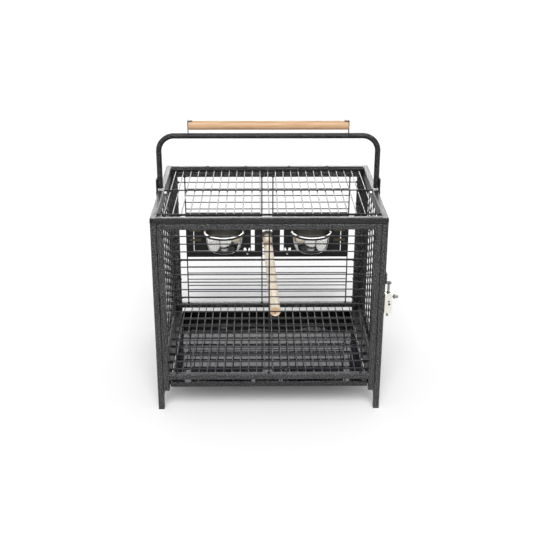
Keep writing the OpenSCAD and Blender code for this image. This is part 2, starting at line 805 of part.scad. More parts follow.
// A turn latch: upright it stands in the door's notch, turned it holds the door
module turn_latch() {
  difference() {
    union() {
      rod_y(turn_x, turn_y, turn_y + turn_t, turn_z, turn_rivet_d + 5);
      block([turn_x - 2, turn_y, turn_z], [turn_x + 2, turn_y + turn_t, turn_z + turn_len - 3]);
      block([turn_x - 3.5, turn_y, turn_z + turn_len - 4],
            [turn_x + 3.5, turn_y + turn_t, turn_z + turn_len]);
    }
    rod_y(turn_x, turn_y - cut, turn_y + turn_t + cut, turn_z, turn_rivet_d + 2 * pin_fit);
  }
}

module turn_latch_rivets() {
  color(nickel) both_sides() {
    rod_y(turn_x, sheet_y - sheet_t / 2 - 0.8, sheet_y - sheet_t / 2, turn_z, turn_rivet_d + 2);
    rod_y(turn_x, sheet_y - sheet_t / 2 - bite, turn_y + turn_t + 0.3, turn_z, turn_rivet_d);
  }
}

module left_feeder_sheet() {
  color(black) mirror([1, 0, 0]) feeder_sheet();
}

module right_feeder_sheet() {
  color(black) feeder_sheet();
}

module left_feeder_door() {
  color(black) mirror([1, 0, 0]) feeder_door();
}

module right_feeder_door() {
  color(black) feeder_door();
}

module left_fixed_leaves() {
  color(nickel) mirror([1, 0, 0]) fixed_leaves();
}

module right_fixed_leaves() {
  color(nickel) fixed_leaves();
}

module left_door_leaves() {
  color(nickel) mirror([1, 0, 0]) door_leaves();
}

module right_door_leaves() {
  color(nickel) door_leaves();
}

module left_cup_ring() {
  color(black) mirror([1, 0, 0]) cup_ring();
}

module right_cup_ring() {
  color(black) cup_ring();
}

module left_cup() {
  color(steel) mirror([1, 0, 0]) cup();
}

module right_cup() {
  color(steel) cup();
}

module left_turn_latch() {
  color(black) mirror([1, 0, 0]) turn_latch();
}

module right_turn_latch() {
  color(black) turn_latch();
}

// The perch: a dowel that rises to the back, slotted over a front wire
module perch() {
  run = norm(perch_run);
  pitch = acos(perch_run[2] / run);
  turn = atan2(perch_run[1], perch_run[0]);
  ends = 20;
  color(perch_wood) difference() {
    intersection() {
      translate([perch_front_x, perch_front_y, perch_front_z]) rotate([0, pitch, turn])
        translate([0, 0, -ends]) cylinder(h = run + 2 * ends, d = perch_d);
      block([-perch_d * 2, perch_front_y, 0], [perch_d * 2, perch_back_y, body_h]);
    }
    block([perch_front_x - perch_d, perch_front_y - cut, perch_wire_z - wire / 2 - slot_gap],
          [perch_front_x + perch_d, perch_front_y + wire + slot_gap, perch_wire_z + wire / 2 + slot_gap]);
    rod_y(perch_back_x, perch_back_y - perch_bolt_in - 2, perch_back_y + cut, perch_back_z,
          bolt_d + 2 * screw_fit);
  }
}

module perch_bolt() {
  y0 = perch_back_y - perch_bolt_in;
  y1 = level_y + wire / 2 + washer_t + wing_nut_h + 3;
  color(nickel) rod_y(perch_back_x, y0, y1, perch_back_z, bolt_d);
}

// One washer inside the uprights and one outside the level wires
module perch_washers() {
  out_y = level_y + wire / 2 + weld;
  color(nickel) difference() {
    union() {
      rod_y(perch_back_x, perch_back_y, perch_back_y + washer_t, perch_back_z, inner_washer_d);
      rod_y(perch_back_x, out_y, out_y + washer_t, perch_back_z, outer_washer_d);
    }
    rod_y(perch_back_x, perch_back_y - cut, out_y + washer_t + cut, perch_back_z, bolt_d + 2 * screw_fit);
  }
}

module perch_wing_nut() {
  y0 = level_y + wire / 2 + weld + washer_t;
  color(nickel) difference() {
    union() {
      rod_y(perch_back_x, y0, y0 + wing_nut_h, perch_back_z, bolt_d + 5);
      for (s = [-1, 1]) rod_y(perch_back_x + s * wing_d, y0 + 4, y0 + 6, perch_back_z, wing_d);
      block([perch_back_x - wing_d, y0 + 4, perch_back_z - 3],
            [perch_back_x + wing_d, y0 + 6, perch_back_z + 3]);
    }
    rod_y(perch_back_x, y0 - cut, y0 + wing_nut_h + cut, perch_back_z, bolt_d + 2 * screw_fit);
  }
}

module floor_grate() {
  reach = leg_in - runner_t - seam - 2;
  color(black) {
    for (i = [0:grate_crosses]) rod_x(-reach, reach, grate_back_y - i * grate_pitch, grate_cross_z, stout);
    for (i = [-grate_mat:grate_mat - 1])
      rod_y((i + 0.5) * mat_pitch, -side_in + 2, side_in - 2, grate_mat_z, wire);
  }
}

module tray() {
  color(black) difference() {
    block([-tray_half, -half_d, tray_z], [tray_half, tray_back, tray_z + tray_h]);
    block([-tray_half + tray_t, -half_d + tray_t, tray_z + tray_t],
          [tray_half - tray_t, tray_back - tray_t, tray_z + tray_h + cut]);
  }
}

// Channels under the side rails: the tray slides on the lower lip, the grate lies on the upper one
module tray_runners() {
  web = leg_in - weld;
  color(black) both_sides() {
    block([web - runner_t, -side_in + 1, runner_low], [web, side_in - 1, ledge_z + 6]);
    block([runner_in, -side_in + 1, runner_low], [web - bite, side_in - 1, runner_low + runner_t]);
    block([tray_half + 1, -side_in + 1, ledge_z - runner_t], [web - bite, side_in - 1, ledge_z]);
  }
}

left_side_frame();
right_side_frame();
front_panel_frame();
back_panel_frame();
lid_frame();
front_grille();
back_grille();
left_side_grille();
lid_grille();
foot_plugs();
panel_screws();
lid_screws();
handle_tube();
handle_bolts();
handle_spacers();
handle_nuts();
grip_straps();
wooden_grip();
grip_screws();
side_door_frame();
side_door_grille();
latch_housing();
latch_rivets();
latch_rod();
latch_knob();
latch_keeper();
keeper_rivets();
left_feeder_sheet();
right_feeder_sheet();
left_feeder_door();
right_feeder_door();
left_fixed_leaves();
right_fixed_leaves();
left_door_leaves();
right_door_leaves();
left_cup_ring();
right_cup_ring();
left_cup();
right_cup();
left_turn_latch();
right_turn_latch();
turn_latch_rivets();
perch();
perch_bolt();
perch_washers();
perch_wing_nut();
floor_grate();
tray();
tray_runners();
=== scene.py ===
"""Looks of a bird travel carrier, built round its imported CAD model, in the order it is put together."""
import math

import bpy
from mathutils import Matrix, Vector


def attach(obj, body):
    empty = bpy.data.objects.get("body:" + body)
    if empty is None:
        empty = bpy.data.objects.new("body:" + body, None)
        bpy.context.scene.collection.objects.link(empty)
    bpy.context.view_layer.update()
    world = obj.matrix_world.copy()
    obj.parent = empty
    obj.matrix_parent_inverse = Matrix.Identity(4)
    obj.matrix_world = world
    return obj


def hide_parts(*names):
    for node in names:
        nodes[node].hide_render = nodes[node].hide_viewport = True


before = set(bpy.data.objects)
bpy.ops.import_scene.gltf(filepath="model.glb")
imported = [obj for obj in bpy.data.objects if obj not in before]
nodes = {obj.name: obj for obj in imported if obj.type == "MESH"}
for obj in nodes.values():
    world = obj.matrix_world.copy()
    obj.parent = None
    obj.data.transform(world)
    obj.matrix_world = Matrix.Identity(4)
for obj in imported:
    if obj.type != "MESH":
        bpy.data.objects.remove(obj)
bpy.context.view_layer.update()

# Side frames, panel frames and lid frame
# Half-inch square steel tube: two side frames with the legs, a front and a back panel frame
# between them, and the lid frame. The tubes butt, are welded in their inside corners and
# ground flush outside, and everything is coated with a charcoal hammertone powder.
HALF_W, HALF_D, TUBE = 0.2415, 0.184, 0.0127
CLEARANCE = 0.0003
LEG_IN = HALF_W - TUBE
POST_OUT = LEG_IN - CLEARANCE
POST_IN = POST_OUT - TUBE
SIDE_IN = HALF_D - TUBE
BODY_TOP, RAIL_LOW, POST_LOW, PLUG_TOP = 0.432, 0.073, 0.046, 0.002
RAIL_TOP, TOP_RAIL = RAIL_LOW + TUBE, BODY_TOP - TUBE
LID_LOW, LID_TOP = BODY_TOP + CLEARANCE, 0.445
TUBE_ROUND, TUBE_WALL, BORE_SHOWN = 0.0023, 0.0012, 0.02
FLARE_H, FLARE_IN, FLARE_NARROWER = 0.021, 0.0039, 0.0006
FLARE_PROUD, FLARE_SUNK = 0.0001, 0.001
BEAD_R, BEAD_RINGS, BEAD_SWELL, BEAD_SHORT = 0.0011, 9, 1.3, 0.002
VENT_X, VENT_Z, VENT_R, VENT_DEPTH = 0.238, 0.43865, 0.00175, 0.009
PEBBLE, FLECK = 0.0023, (0.47, 0.62)
BLACK = (0.001, 0.001, 0.001)


class Link:
    """A node's output in a finish, so that sums on it can be written as they are read."""

    def __init__(self, finish, socket):
        self.finish = finish
        self.socket = socket

    def sum(self, operation, first, second):
        return self.finish.add("ShaderNodeMath", {"operation": operation}, {0: first, 1: second})

    def __add__(self, other):
        return self.sum("ADD", self, other)

    __radd__ = __add__

    def __sub__(self, other):
        return self.sum("SUBTRACT", self, other)

    def __rsub__(self, other):
        return self.sum("SUBTRACT", other, self)

    def __mul__(self, other):
        return self.sum("MULTIPLY", self, other)

    __rmul__ = __mul__

    def ramp(self, low, high):
        """0 below low, 1 above high, and smooth between them."""
        return self.finish.add("ShaderNodeMapRange", {"interpolation_type": "SMOOTHSTEP"},
                               {"Value": self, "From Min": low, "From Max": high})


class Finish:
    """One material, with its Principled shader and the nodes that drive it."""

    def __init__(self, name, colour, roughness, metallic=0.0, coat=0.0, specular=0.5):
        self.material = bpy.data.materials.new(name)
        self.material.use_nodes = True
        self.tree = self.material.node_tree
        self.shader = self.tree.nodes["Principled BSDF"]
        self.shader.inputs["Base Color"].default_value = (*colour, 1)
        self.shader.inputs["Roughness"].default_value = roughness
        self.shader.inputs["Metallic"].default_value = metallic
        self.shader.inputs["Coat Weight"].default_value = coat
        self.shader.inputs["Specular IOR Level"].default_value = specular

    def add(self, kind, settings, values, output=0):
        """Any node: its settings first, then a number, a vector or a link for each socket.

        It gives a link to one of the node's outputs, where the node has any.
        """
        node = self.tree.nodes.new(kind)
        for setting, value in settings.items():
            setattr(node, setting, value)
        for socket, value in values.items():
            if isinstance(value, Link):
                self.tree.links.new(value.socket, node.inputs[socket])
            else:
                node.inputs[socket].default_value = value
        if node.outputs:
            return Link(self, node.outputs[output])

    def place(self, stretch=(1, 1, 1)):
        """The point on the object, in metres, with each axis stretched."""
        point = self.add("ShaderNodeTexCoord", {}, {}, "Object")
        return self.add("ShaderNodeMapping", {}, {"Vector": point, "Scale": stretch})

    def axis(self, number):
        """One coordinate of the point on the object, in metres."""
        return self.add("ShaderNodeSeparateXYZ", {}, {0: self.place()}, number)

    def off(self, number, centre):
        """How far the point on the object is from a centre, along one axis."""
        return self.add("ShaderNodeMath", {"operation": "ABSOLUTE"}, {0: self.axis(number) - centre})

    def away(self, spot):
        """How far the point on the object is from a spot."""
        ends = {0: self.place(), 1: spot}
        return self.add("ShaderNodeVectorMath", {"operation": "DISTANCE"}, ends, "Value")

    def noise(self, size, detail=2.0, stretch=(1, 1, 1), roughness=0.5):
        """Even noise whose patches are about size metres across."""
        values = {"Vector": self.place(stretch), "Scale": 1 / size}
        return self.add("ShaderNodeTexNoise", {}, values | {"Detail": detail, "Roughness": roughness})

    def blend(self, factor, first, second):
        """A colour that goes from first to second as factor goes from 0 to 1."""
        ends = {0: factor, 6: first, 7: second}
        ends = {k: (*v, 1) if isinstance(v, tuple) else v for k, v in ends.items()}
        return self.add("ShaderNodeMix", {"data_type": "RGBA"}, ends, 2)

    def feed(self, socket, link):
        self.tree.links.new(link.socket, self.shader.inputs[socket])

    def bump(self, height, distance, strength=1.0):
        values = {"Height": height, "Distance": distance, "Strength": strength}
        self.feed("Normal", self.add("ShaderNodeBump", {}, values))


def deselect():
    """Leaves nothing selected, so an operator acts only on what comes next."""
    bpy.ops.object.select_all(action="DESELECT")


def take(piece):
    """Selects one piece alone and makes it the active one."""
    deselect()
    piece.select_set(True)
    bpy.context.view_layer.objects.active = piece


def pick(piece, kind, test):
    """Opens the piece for editing with only the edges or faces that pass the test selected."""
    take(piece)
    bpy.ops.object.mode_set(mode="EDIT")
    bpy.ops.mesh.select_mode(type=kind)
    bpy.ops.mesh.select_all(action="DESELECT")
    bpy.ops.object.mode_set(mode="OBJECT")
    if kind == "EDGE":
        for edge in piece.data.edges:
            edge.select = test(*(piece.data.vertices[v].co for v in edge.vertices))
    else:
        for face in piece.data.polygons:
            face.select = test(face.center, face.normal)
    bpy.ops.object.mode_set(mode="EDIT")


def block(low, high):
    """A box between two corners, in place, with its object at the origin."""
    deselect()
    bpy.ops.mesh.primitive_cube_add(size=1, location=[(a + b) / 2 for a, b in zip(low, high)])
    piece = bpy.context.object
    piece.scale = [abs(b - a) for a, b in zip(low, high)]
    bpy.ops.object.transform_apply(location=True, rotation=False, scale=True)
    return piece


def bar(low, high, along, rounding=TUBE_ROUND):
    """A square bar or tube along axis 0, 1 or 2, with its four long edges rounded."""
    piece = block(low, high)
    pick(piece, "EDGE", lambda a, b: abs((b - a)[along]) > 0.9 * (b - a).length)
    bpy.ops.mesh.bevel(offset=rounding, offset_type="OFFSET", segments=3, affect="EDGES")
    bpy.ops.object.mode_set(mode="OBJECT")
    return piece


def aimed(start, run):
    """The move that stands a shape made up the Z axis on start, along run."""
    return Matrix.Translation(start) @ run.to_track_quat("Z", "Y").to_matrix().to_4x4()


def cut_away(piece, tool):
    """Takes the tool's shape out of the piece, as a drill or a saw does."""
    take(piece)
    hole = piece.modifiers.new("hole", "BOOLEAN")
    hole.object, hole.operation = tool, "DIFFERENCE"
    bpy.ops.object.modifier_apply(modifier=hole.name)
    bpy.data.objects.remove(tool)


def drill(start, end, radius):
    """A drill from one point to another, as a tool to cut away with."""
    start, end = Vector(start), Vector(end)
    deselect()
    bpy.ops.mesh.primitive_cylinder_add(vertices=20, radius=radius, depth=(end - start).length)
    tool = bpy.context.object
    tool.data.transform(aimed((start + end) / 2, end - start))
    return tool


def join(name, parts, angle=40):
    """Makes one named piece of its parts, with flat faces flat and rounded edges smooth."""
    deselect()
    for part in parts:
        part.select_set(True)
    bpy.context.view_layer.objects.active = parts[0]
    if len(parts) > 1:
        bpy.ops.object.join()
    piece = bpy.context.object
    piece.name = piece.data.name = name
    bpy.ops.object.shade_smooth_by_angle(angle=math.radians(angle))
    flat = piece.modifiers.new("flat", "WEIGHTED_NORMAL")
    flat.keep_sharp = True
    bpy.ops.object.modifier_apply(modifier=flat.name)
    return piece


def hand_over(piece, finish, body, slot, *replaced):
    """Paints a finished piece, puts it on its body and takes the CAD nodes' place."""
    piece.data.materials.clear()
    piece.data.materials.append(finish.material)
    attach(piece, body)
    if replaced:
        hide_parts(*replaced)


def open_end(piece):
    """Hollows the lower end of an upright tube, as a sawn tube looks."""
    low = min(v.co.z for v in piece.data.vertices)
    pick(piece, "FACE", lambda c, n: n.z < -0.9 and c.z < low + 1e-5)
    bpy.ops.mesh.inset(thickness=TUBE_WALL)
    bpy.ops.mesh.extrude_region_move(TRANSFORM_OT_translate={"value": (0, 0, BORE_SHOWN)})
    bpy.ops.object.mode_set(mode="OBJECT")


def foot_flare(side, end):
    """The curve in which a foot flares inwards, up to just under its post."""
    low, high = POST_LOW - CLEARANCE - FLARE_H, POST_LOW - CLEARANCE
    flare = block((side * (LEG_IN - FLARE_PROUD), end * (HALF_D - FLARE_NARROWER), low),
                  (side * (LEG_IN + FLARE_SUNK), end * (SIDE_IN + FLARE_NARROWER), high))
    take(flare)
    bpy.ops.object.mode_set(mode="EDIT")
    bpy.ops.mesh.select_all(action="SELECT")
    bpy.ops.mesh.subdivide(number_cuts=7)
    bpy.ops.object.mode_set(mode="OBJECT")
    for vertex in flare.data.vertices:
        rise = (vertex.co.z - low) / (high - low)
        if abs(vertex.co.x) < LEG_IN + FLARE_SUNK / 2:
            vertex.co.x -= side * FLARE_IN * rise ** 2.2
    return flare


def weld_bead(start, end):
    """A rippled bead of weld from one point to another, in an inside corner."""
    start, end = Vector(start), Vector(end)
    step = (end - start).length / BEAD_RINGS
    deselect()
    bpy.ops.mesh.primitive_circle_add(vertices=8, radius=BEAD_R, fill_type="NGON")
    bead = bpy.context.object
    bpy.ops.object.mode_set(mode="EDIT")
    for ring in range(1, BEAD_RINGS + 1):
        swell = BEAD_SWELL if ring % 2 else 1 / BEAD_SWELL
        bpy.ops.mesh.extrude_region_move(TRANSFORM_OT_translate={"value": (0, 0, step)})
        bpy.ops.transform.resize(value=(swell, swell, 1), center_override=(0, 0, ring * step))
    bpy.ops.mesh.select_all(action="SELECT")
    bpy.ops.mesh.normals_make_consistent(inside=False)
    bpy.ops.object.mode_set(mode="OBJECT")
    bead.data.transform(aimed(start, end - start))
    return bead


def hammer_coat(name, light):
    """A pebbled powder coat: black, with lighter flecks on its crests and a faint cloudiness."""
    coat = Finish(name, BLACK, 0.4, specular=0.3)
    pebble = coat.noise(PEBBLE)
    cloud = coat.noise(0.02, 1.0).ramp(0.35, 0.7) * 0.08
    coat.feed("Base Color", coat.blend(cloud, coat.blend(pebble.ramp(*FLECK), BLACK, light), light))
    coat.feed("Roughness", 0.3 + pebble * 0.25)
    coat.bump(pebble, 0.0005, 0.9)
    return coat


hammertone = hammer_coat("charcoal_hammertone", (0.125, 0.125, 0.13))
# Painted shade: the lid and the handle take a darker copy of the same coat, for the less light that they
# catch.
shaded_hammertone = hammer_coat("shaded_hammertone", (0.045, 0.045, 0.048))

for side, name in ((-1, "left"), (1, "right")):
    x_in, x_out = side * LEG_IN, side * HALF_W
    parts = []
    for end in (-1, 1):
        parts.append(bar((x_in, end * HALF_D, PLUG_TOP), (x_out, end * SIDE_IN, BODY_TOP), 2))
        parts.append(foot_flare(side, end))
    for z in (RAIL_LOW, TOP_RAIL):
        parts.append(bar((x_in, -SIDE_IN, z), (x_out, SIDE_IN, z + TUBE), 1))
    for end in (-1, 1):
        for z in (RAIL_LOW, RAIL_TOP, TOP_RAIL):
            parts.append(weld_bead((x_in + side * BEAD_SHORT, end * SIDE_IN, z),
                                   (x_out - side * BEAD_SHORT, end * SIDE_IN, z)))
    side_tubes = join(name + "_side_tubes", parts)
    hand_over(side_tubes, hammertone, "cage", "frame_paint", name + "_side_frame")

for end, name in ((-1, "front"), (1, "back")):
    parts = []
    for side in (-1, 1):
        post = bar((side * POST_IN, end * HALF_D, POST_LOW), (side * POST_OUT, end * SIDE_IN, BODY_TOP), 2)
        open_end(post)
        parts.append(post)
        for z in (RAIL_LOW, RAIL_TOP, TOP_RAIL):
            parts.append(weld_bead((side * POST_IN, end * (HALF_D - BEAD_SHORT), z),
                                   (side * POST_IN, end * (SIDE_IN + BEAD_SHORT), z)))
    for z in (RAIL_LOW, TOP_RAIL):
        parts.append(bar((-POST_IN, end * HALF_D, z), (POST_IN, end * SIDE_IN, z + TUBE), 0))
    panel_tubes = join(name + "_panel_tubes", parts)
    hand_over(panel_tubes, hammertone, "cage", "frame_paint", name + "_panel_frame")

# The lid's side rails run to its corners, with a small vent drilled in each front end.
parts = []
for side in (-1, 1):
    rail = bar((side * LEG_IN, -HALF_D, LID_LOW), (side * HALF_W, HALF_D, LID_TOP), 1)
    cut_away(rail, drill((side * VENT_X, -HALF_D - 0.01, VENT_Z),
                         (side * VENT_X, -HALF_D + VENT_DEPTH, VENT_Z), VENT_R))
    parts.append(rail)
for end in (-1, 1):
    parts.append(bar((-LEG_IN, end * HALF_D, LID_LOW), (LEG_IN, end * SIDE_IN, LID_TOP), 0))
    for side in (-1, 1):
        corner = (side * LEG_IN, end * SIDE_IN)
        parts.append(weld_bead((*corner, LID_LOW + 0.001), (*corner, LID_TOP - 0.004)))
lid_tubes = join("lid_tubes", parts)
# The lid frame takes the darker copy of the coat, as painted shade.
hand_over(lid_tubes, shaded_hammertone, "cage", "frame_paint", "lid_frame")

# Wire grilles
# Thin level wires resistance-welded to a few stout cross wires, in black powder coat. Each
# crossing has a flattened nugget of weld, and the wires that tie a mat to its frame, and
# the ends of the stout ones, have a larger blob.
WIRE_TOP, PITCH, TIES = 0.4043, 0.017, (0, 5, 12, 18)
LEVELS = [WIRE_TOP - PITCH * k for k in range(19)]
BESIDE_FEEDERS = LEVELS[:6] + LEVELS[11:]
RAIL_EDGES = (RAIL_TOP, TOP_RAIL)
UPRIGHT_X, MID_X, SIDE_X = 0.1985, 0.0133, 0.2338
WELD_Y, TIE_Y, UPRIGHT_Y, TIE_IN = 0.17755, 0.17892, 0.17615, 0.0008
SIDE_ROWS = [0.036 * i for i in range(-4, 5)]
MAT_PITCH, LID_CROSSES = 0.018, (-0.156, 0, 0.156)
LID_WELD_Z, LID_TIE_Z = 0.4421, 0.4435
NUGGET_R, NUGGET_FLAT, BLOB = 0.0019, 0.85, 1.8


def paint(finish, *names):
    """Gives CAD nodes whose shapes are right the real finish."""
    for name in names:
        for slot in nodes[name].material_slots:
            slot.material = finish.material


wire_coat = Finish("black_wire_coat", (0.012, 0.012, 0.013), 0.3, specular=0.25)
grit = wire_coat.noise(0.0012)
wire_coat.feed("Roughness", 0.24 + grit * 0.16)
wire_coat.bump(grit, 0.00008, 0.5)
paint(wire_coat, "front_grille", "back_grille", "left_side_grille", "lid_grille")

deselect()
bpy.ops.mesh.primitive_uv_sphere_add(segments=8, ring_count=5, radius=NUGGET_R)
nugget = bpy.context.object
bpy.ops.object.mode_set(mode="EDIT")
bpy.ops.mesh.select_all(action="SELECT")
bpy.ops.transform.resize(value=(1, 1, NUGGET_FLAT), center_override=(0, 0, 0))
bpy.ops.object.mode_set(mode="OBJECT")


def welds(name, body, spots, blobs=()):
    """Copies of the weld nugget at every crossing of a grille, larger ones at the blobs."""
    parts = []
    for spot, size in [(s, 1.0) for s in spots] + [(b, BLOB) for b in blobs]:
        copy = bpy.data.objects.new(name, nugget.data.copy())
        bpy.context.scene.collection.objects.link(copy)
        copy.data.transform(Matrix.Translation(spot) @ Matrix.Scale(size, 4))
        parts.append(copy)
    hand_over(join(name, parts, 60), wire_coat, body, "wire_black")


tied = [(side * (POST_IN - TIE_IN), LEVELS[k]) for side in (-1, 1) for k in TIES]
front_uprights = (-UPRIGHT_X, 0, UPRIGHT_X)
welds("front_welds", "cage",
      [(x, -WELD_Y, z) for x in front_uprights for z in LEVELS],
      [(x, -TIE_Y, z) for x, z in tied]
      + [(x, -UPRIGHT_Y, z) for x in front_uprights for z in RAIL_EDGES])
welds("back_welds", "cage",
      [(side * MID_X, WELD_Y, z) for side in (-1, 1) for z in LEVELS]
      + [(side * UPRIGHT_X, WELD_Y, z) for side in (-1, 1) for z in BESIDE_FEEDERS],
      [(x, TIE_Y, z) for x, z in tied]
      + [(side * x, UPRIGHT_Y, z) for side in (-1, 1) for x in (UPRIGHT_X, MID_X) for z in RAIL_EDGES])
welds("left_side_welds", "cage",
      [(-SIDE_X, y, z) for y in SIDE_ROWS for z in LEVELS],
      [(-SIDE_X, y, z) for y in SIDE_ROWS for z in RAIL_EDGES])
welds("lid_welds", "cage",
      [(MAT_PITCH * i, y, LID_WELD_Z) for i in range(-12, 13) for y in LID_CROSSES],
      [(side * (LEG_IN - TIE_IN), y, LID_TIE_Z) for side in (-1, 1) for y in LID_CROSSES])

# Leg plugs and frame screws
# Black plastic plugs pressed into the legs, with a moulded grain. The panel frames are
# drawn to the side frames, and the lid down at the back, with black pan-head screws.
plug_plastic = Finish("black_plug_plastic", (0.015, 0.015, 0.016), 0.5)
moulding = plug_plastic.noise(0.0009)
plug_plastic.feed("Roughness", 0.45 + moulding * 0.15)
plug_plastic.bump(moulding, 0.00005, 0.6)
paint(plug_plastic, "foot_plugs")

black_steel = Finish("black_coated_steel", (0.012, 0.012, 0.013), 0.36, specular=0.3)
skin = black_steel.noise(0.0016, 3.0)
skin_tone = black_steel.blend(skin.ramp(0.4, 0.65), (0.007, 0.007, 0.008), (0.02, 0.02, 0.022))
black_steel.feed("Base Color", skin_tone)
black_steel.feed("Roughness", 0.3 + skin * 0.16)
black_steel.bump(skin, 0.00012, 0.5)
paint(black_steel, "panel_screws", "lid_screws")

# Carry handle
# A round steel tube bent twice, with a flat tab welded on the outside of each leg. A black
# bolt through each tab and a short spacer holds it to the lid with a zinc nut inside.


def bare_metal(name, dark, light, roughness, rougher, grain):
    """A metal without a coat, whose tone and gloss wander together from dark to light."""
    metal = Finish(name, light, roughness, metallic=1.0)
    wander = metal.noise(*grain)
    metal.feed("Base Color", metal.blend(wander, dark, light))
    metal.feed("Roughness", roughness + wander * rougher)
    return metal


# The handle tube takes the darker copy of the frame's coat, as painted shade.
paint(shaded_hammertone, "handle_tube")
paint(black_steel, "handle_bolts", "handle_spacers")
zinc = bare_metal("dull_zinc", (0.2, 0.19, 0.17), (0.42, 0.4, 0.37), 0.28, 0.16, (0.0018, 3.0))
paint(zinc, "handle_nuts")

# Wooden grip and its straps
# A beech dowel turned with eased ends and oiled. A black strap stands on the handle tube
# at each end, laps over the dowel, and is held by a nickel screw into its end grain.
GRIP_Z, GRIP_R, GRIP_END, GRIP_EASE = 0.59025, 0.00975, 0.172, 0.0016
STRAP_ROUND = 0.0005
BRUSHED = (0.002, 3.0, (1, 1, 0.15))


def lathe(profile, sides=64):
    """Turns a profile of (radius, height) points about Z: a ring drawn out point by point."""
    deselect()
    radius, height = profile[0]
    bpy.ops.mesh.primitive_circle_add(vertices=sides, radius=radius, fill_type="NGON")
    piece = bpy.context.object
    bpy.ops.object.mode_set(mode="EDIT")
    bpy.ops.mesh.select_all(action="SELECT")
    bpy.ops.transform.translate(value=(0, 0, height))
    for next_radius, next_height in profile[1:]:
        rise, grow = next_height - height, next_radius / radius
        bpy.ops.mesh.extrude_region_move(TRANSFORM_OT_translate={"value": (0, 0, rise)})
        bpy.ops.transform.resize(value=(grow, grow, 1), center_override=(0, 0, next_height))
        radius, height = next_radius, next_height
    bpy.ops.mesh.select_all(action="SELECT")
    bpy.ops.mesh.normals_make_consistent(inside=False)
    bpy.ops.object.mode_set(mode="OBJECT")
    return piece


def eased(radius, length, ease):
    """The profile of a dowel with rounded ends."""
    turn = [math.radians(t) for t in range(0, 91, 18)]
    nose = [(radius - ease * (1 - math.sin(t)), ease * (1 - math.cos(t))) for t in turn]
    return [(0.001, 0), *nose, *[(r, length - z) for r, z in reversed(nose)], (0.001, length)]


def softened(name, width, angle=35):
    """A copy of a CAD node's mesh with its sharp edges rounded, as bent or cast metal has them."""
    piece = bpy.data.objects.new(name + "_rounded", nodes[name].data.copy())
    bpy.context.scene.collection.objects.link(piece)
    take(piece)
    bpy.ops.object.mode_set(mode="EDIT")
    bpy.ops.mesh.select_all(action="SELECT")
    bpy.ops.mesh.remove_doubles(threshold=0.000001)
    bpy.ops.mesh.dissolve_limited(angle_limit=math.radians(0.5))
    bpy.ops.mesh.normals_make_consistent(inside=False)
    bpy.ops.object.mode_set(mode="OBJECT")
    edges = piece.modifiers.new("edges", "BEVEL")
    edges.width, edges.segments = width, 2
    edges.limit_method, edges.angle_limit = "ANGLE", math.radians(angle)
    bpy.ops.object.modifier_apply(modifier=edges.name)
    return piece


oiled = Finish("oiled_beech", (0.62, 0.33, 0.16), 0.42)
streak = oiled.noise(0.0035, 4.0, stretch=(0.05, 1, 1), roughness=0.6)
fibre = oiled.noise(0.0007, stretch=(0.03, 1, 1))
oiled_tone = oiled.blend(streak.ramp(0.35, 0.68), (0.6, 0.385, 0.225), (0.47, 0.26, 0.125))
oiled.feed("Base Color", oiled.blend(fibre.ramp(0.55, 0.75) * 0.3, oiled_tone, (0.42, 0.23, 0.11)))
oiled.feed("Roughness", 0.36 + fibre * 0.14)
oiled.bump(fibre, 0.00006, 0.5)
grip = lathe(eased(GRIP_R, 2 * GRIP_END, GRIP_EASE), 48)
grip.data.transform(Matrix.Translation((-GRIP_END, 0, GRIP_Z)) @ Matrix.Rotation(math.pi / 2, 4, "Y"))
hand_over(join("turned_grip", [grip], 50), oiled, "cage", "grip_wood", "wooden_grip")

nickel = bare_metal("bright_nickel", (0.74, 0.7, 0.61), (0.86, 0.84, 0.77), 0.2, 0.14, BRUSHED)
straps = join("bent_straps", [softened("grip_straps", STRAP_ROUND)])
hand_over(straps, black_steel, "cage", "sheet_black", "grip_straps")
paint(nickel, "grip_screws")

# Side door
# A frame of flat bar with rounded edges, welded to the round rod that it turns on, and a
# wire grille welded behind it.
DOOR_ROUND, DOOR_WELD_X, DOOR_FORWARD = 0.0006, 0.23515, 0.0015
door = join("rounded_door_frame", [softened("side_door_frame", DOOR_ROUND)])
hand_over(door, hammertone, "side_door", "frame_paint", "side_door_frame")
paint(wire_coat, "side_door_grille")
welds("side_door_welds", "side_door",
      [(DOOR_WELD_X, y - DOOR_FORWARD, z) for y in SIDE_ROWS for z in LEVELS])

# Latch and keeper
# A folded nickel housing riveted to the door, with a sliding bolt and a turned knob, and
# a coated steel keeper riveted to the front leg above it.
LATCH_X, LATCH_Y, HOUSING_BORE = 0.2493, -0.17765, (0.0061, 0.0066)
HOUSING_ROUND, KNOB_ROUND, KEEPER_ROUND = 0.0007, 0.0003, 0.0005

plate = Finish("latch_plate", (0.8, 0.77, 0.69), 0.24, metallic=1.0)
# Painted shade: the housing is drawn nearly black in a narrow column round the bolt's bore.
bore_shade = (1 - plate.off(0, LATCH_X).ramp(*HOUSING_BORE)) * (1 - plate.off(1, LATCH_Y).ramp(*HOUSING_BORE))
satin = plate.noise(*BRUSHED)
plate_tone = plate.blend(satin, (0.78, 0.75, 0.67), (0.88, 0.86, 0.79))
plate.feed("Base Color", plate.blend(bore_shade, plate_tone, (0.03, 0.03, 0.02)))
plate.feed("Roughness", 0.24 + satin * 0.12)
housing = join("folded_housing", [softened("latch_housing", HOUSING_ROUND)])
hand_over(housing, plate, "side_door", "nickel", "latch_housing")

worn = bare_metal("worn_knob_zinc", (0.1, 0.095, 0.085), (0.21, 0.2, 0.185), 0.3, 0.15, (0.0015, 3.0))
knob = join("turned_knob", [softened("latch_knob", KNOB_ROUND, 30)])
hand_over(knob, worn, "latch_bolt", "nickel", "latch_knob")
paint(zinc, "latch_rod")
paint(nickel, "latch_rivets")
keeper = join("rounded_keeper", [softened("latch_keeper", KEEPER_ROUND)])
hand_over(keeper, hammertone, "cage", "frame_paint", "latch_keeper")
paint(hammertone, "keeper_rivets")

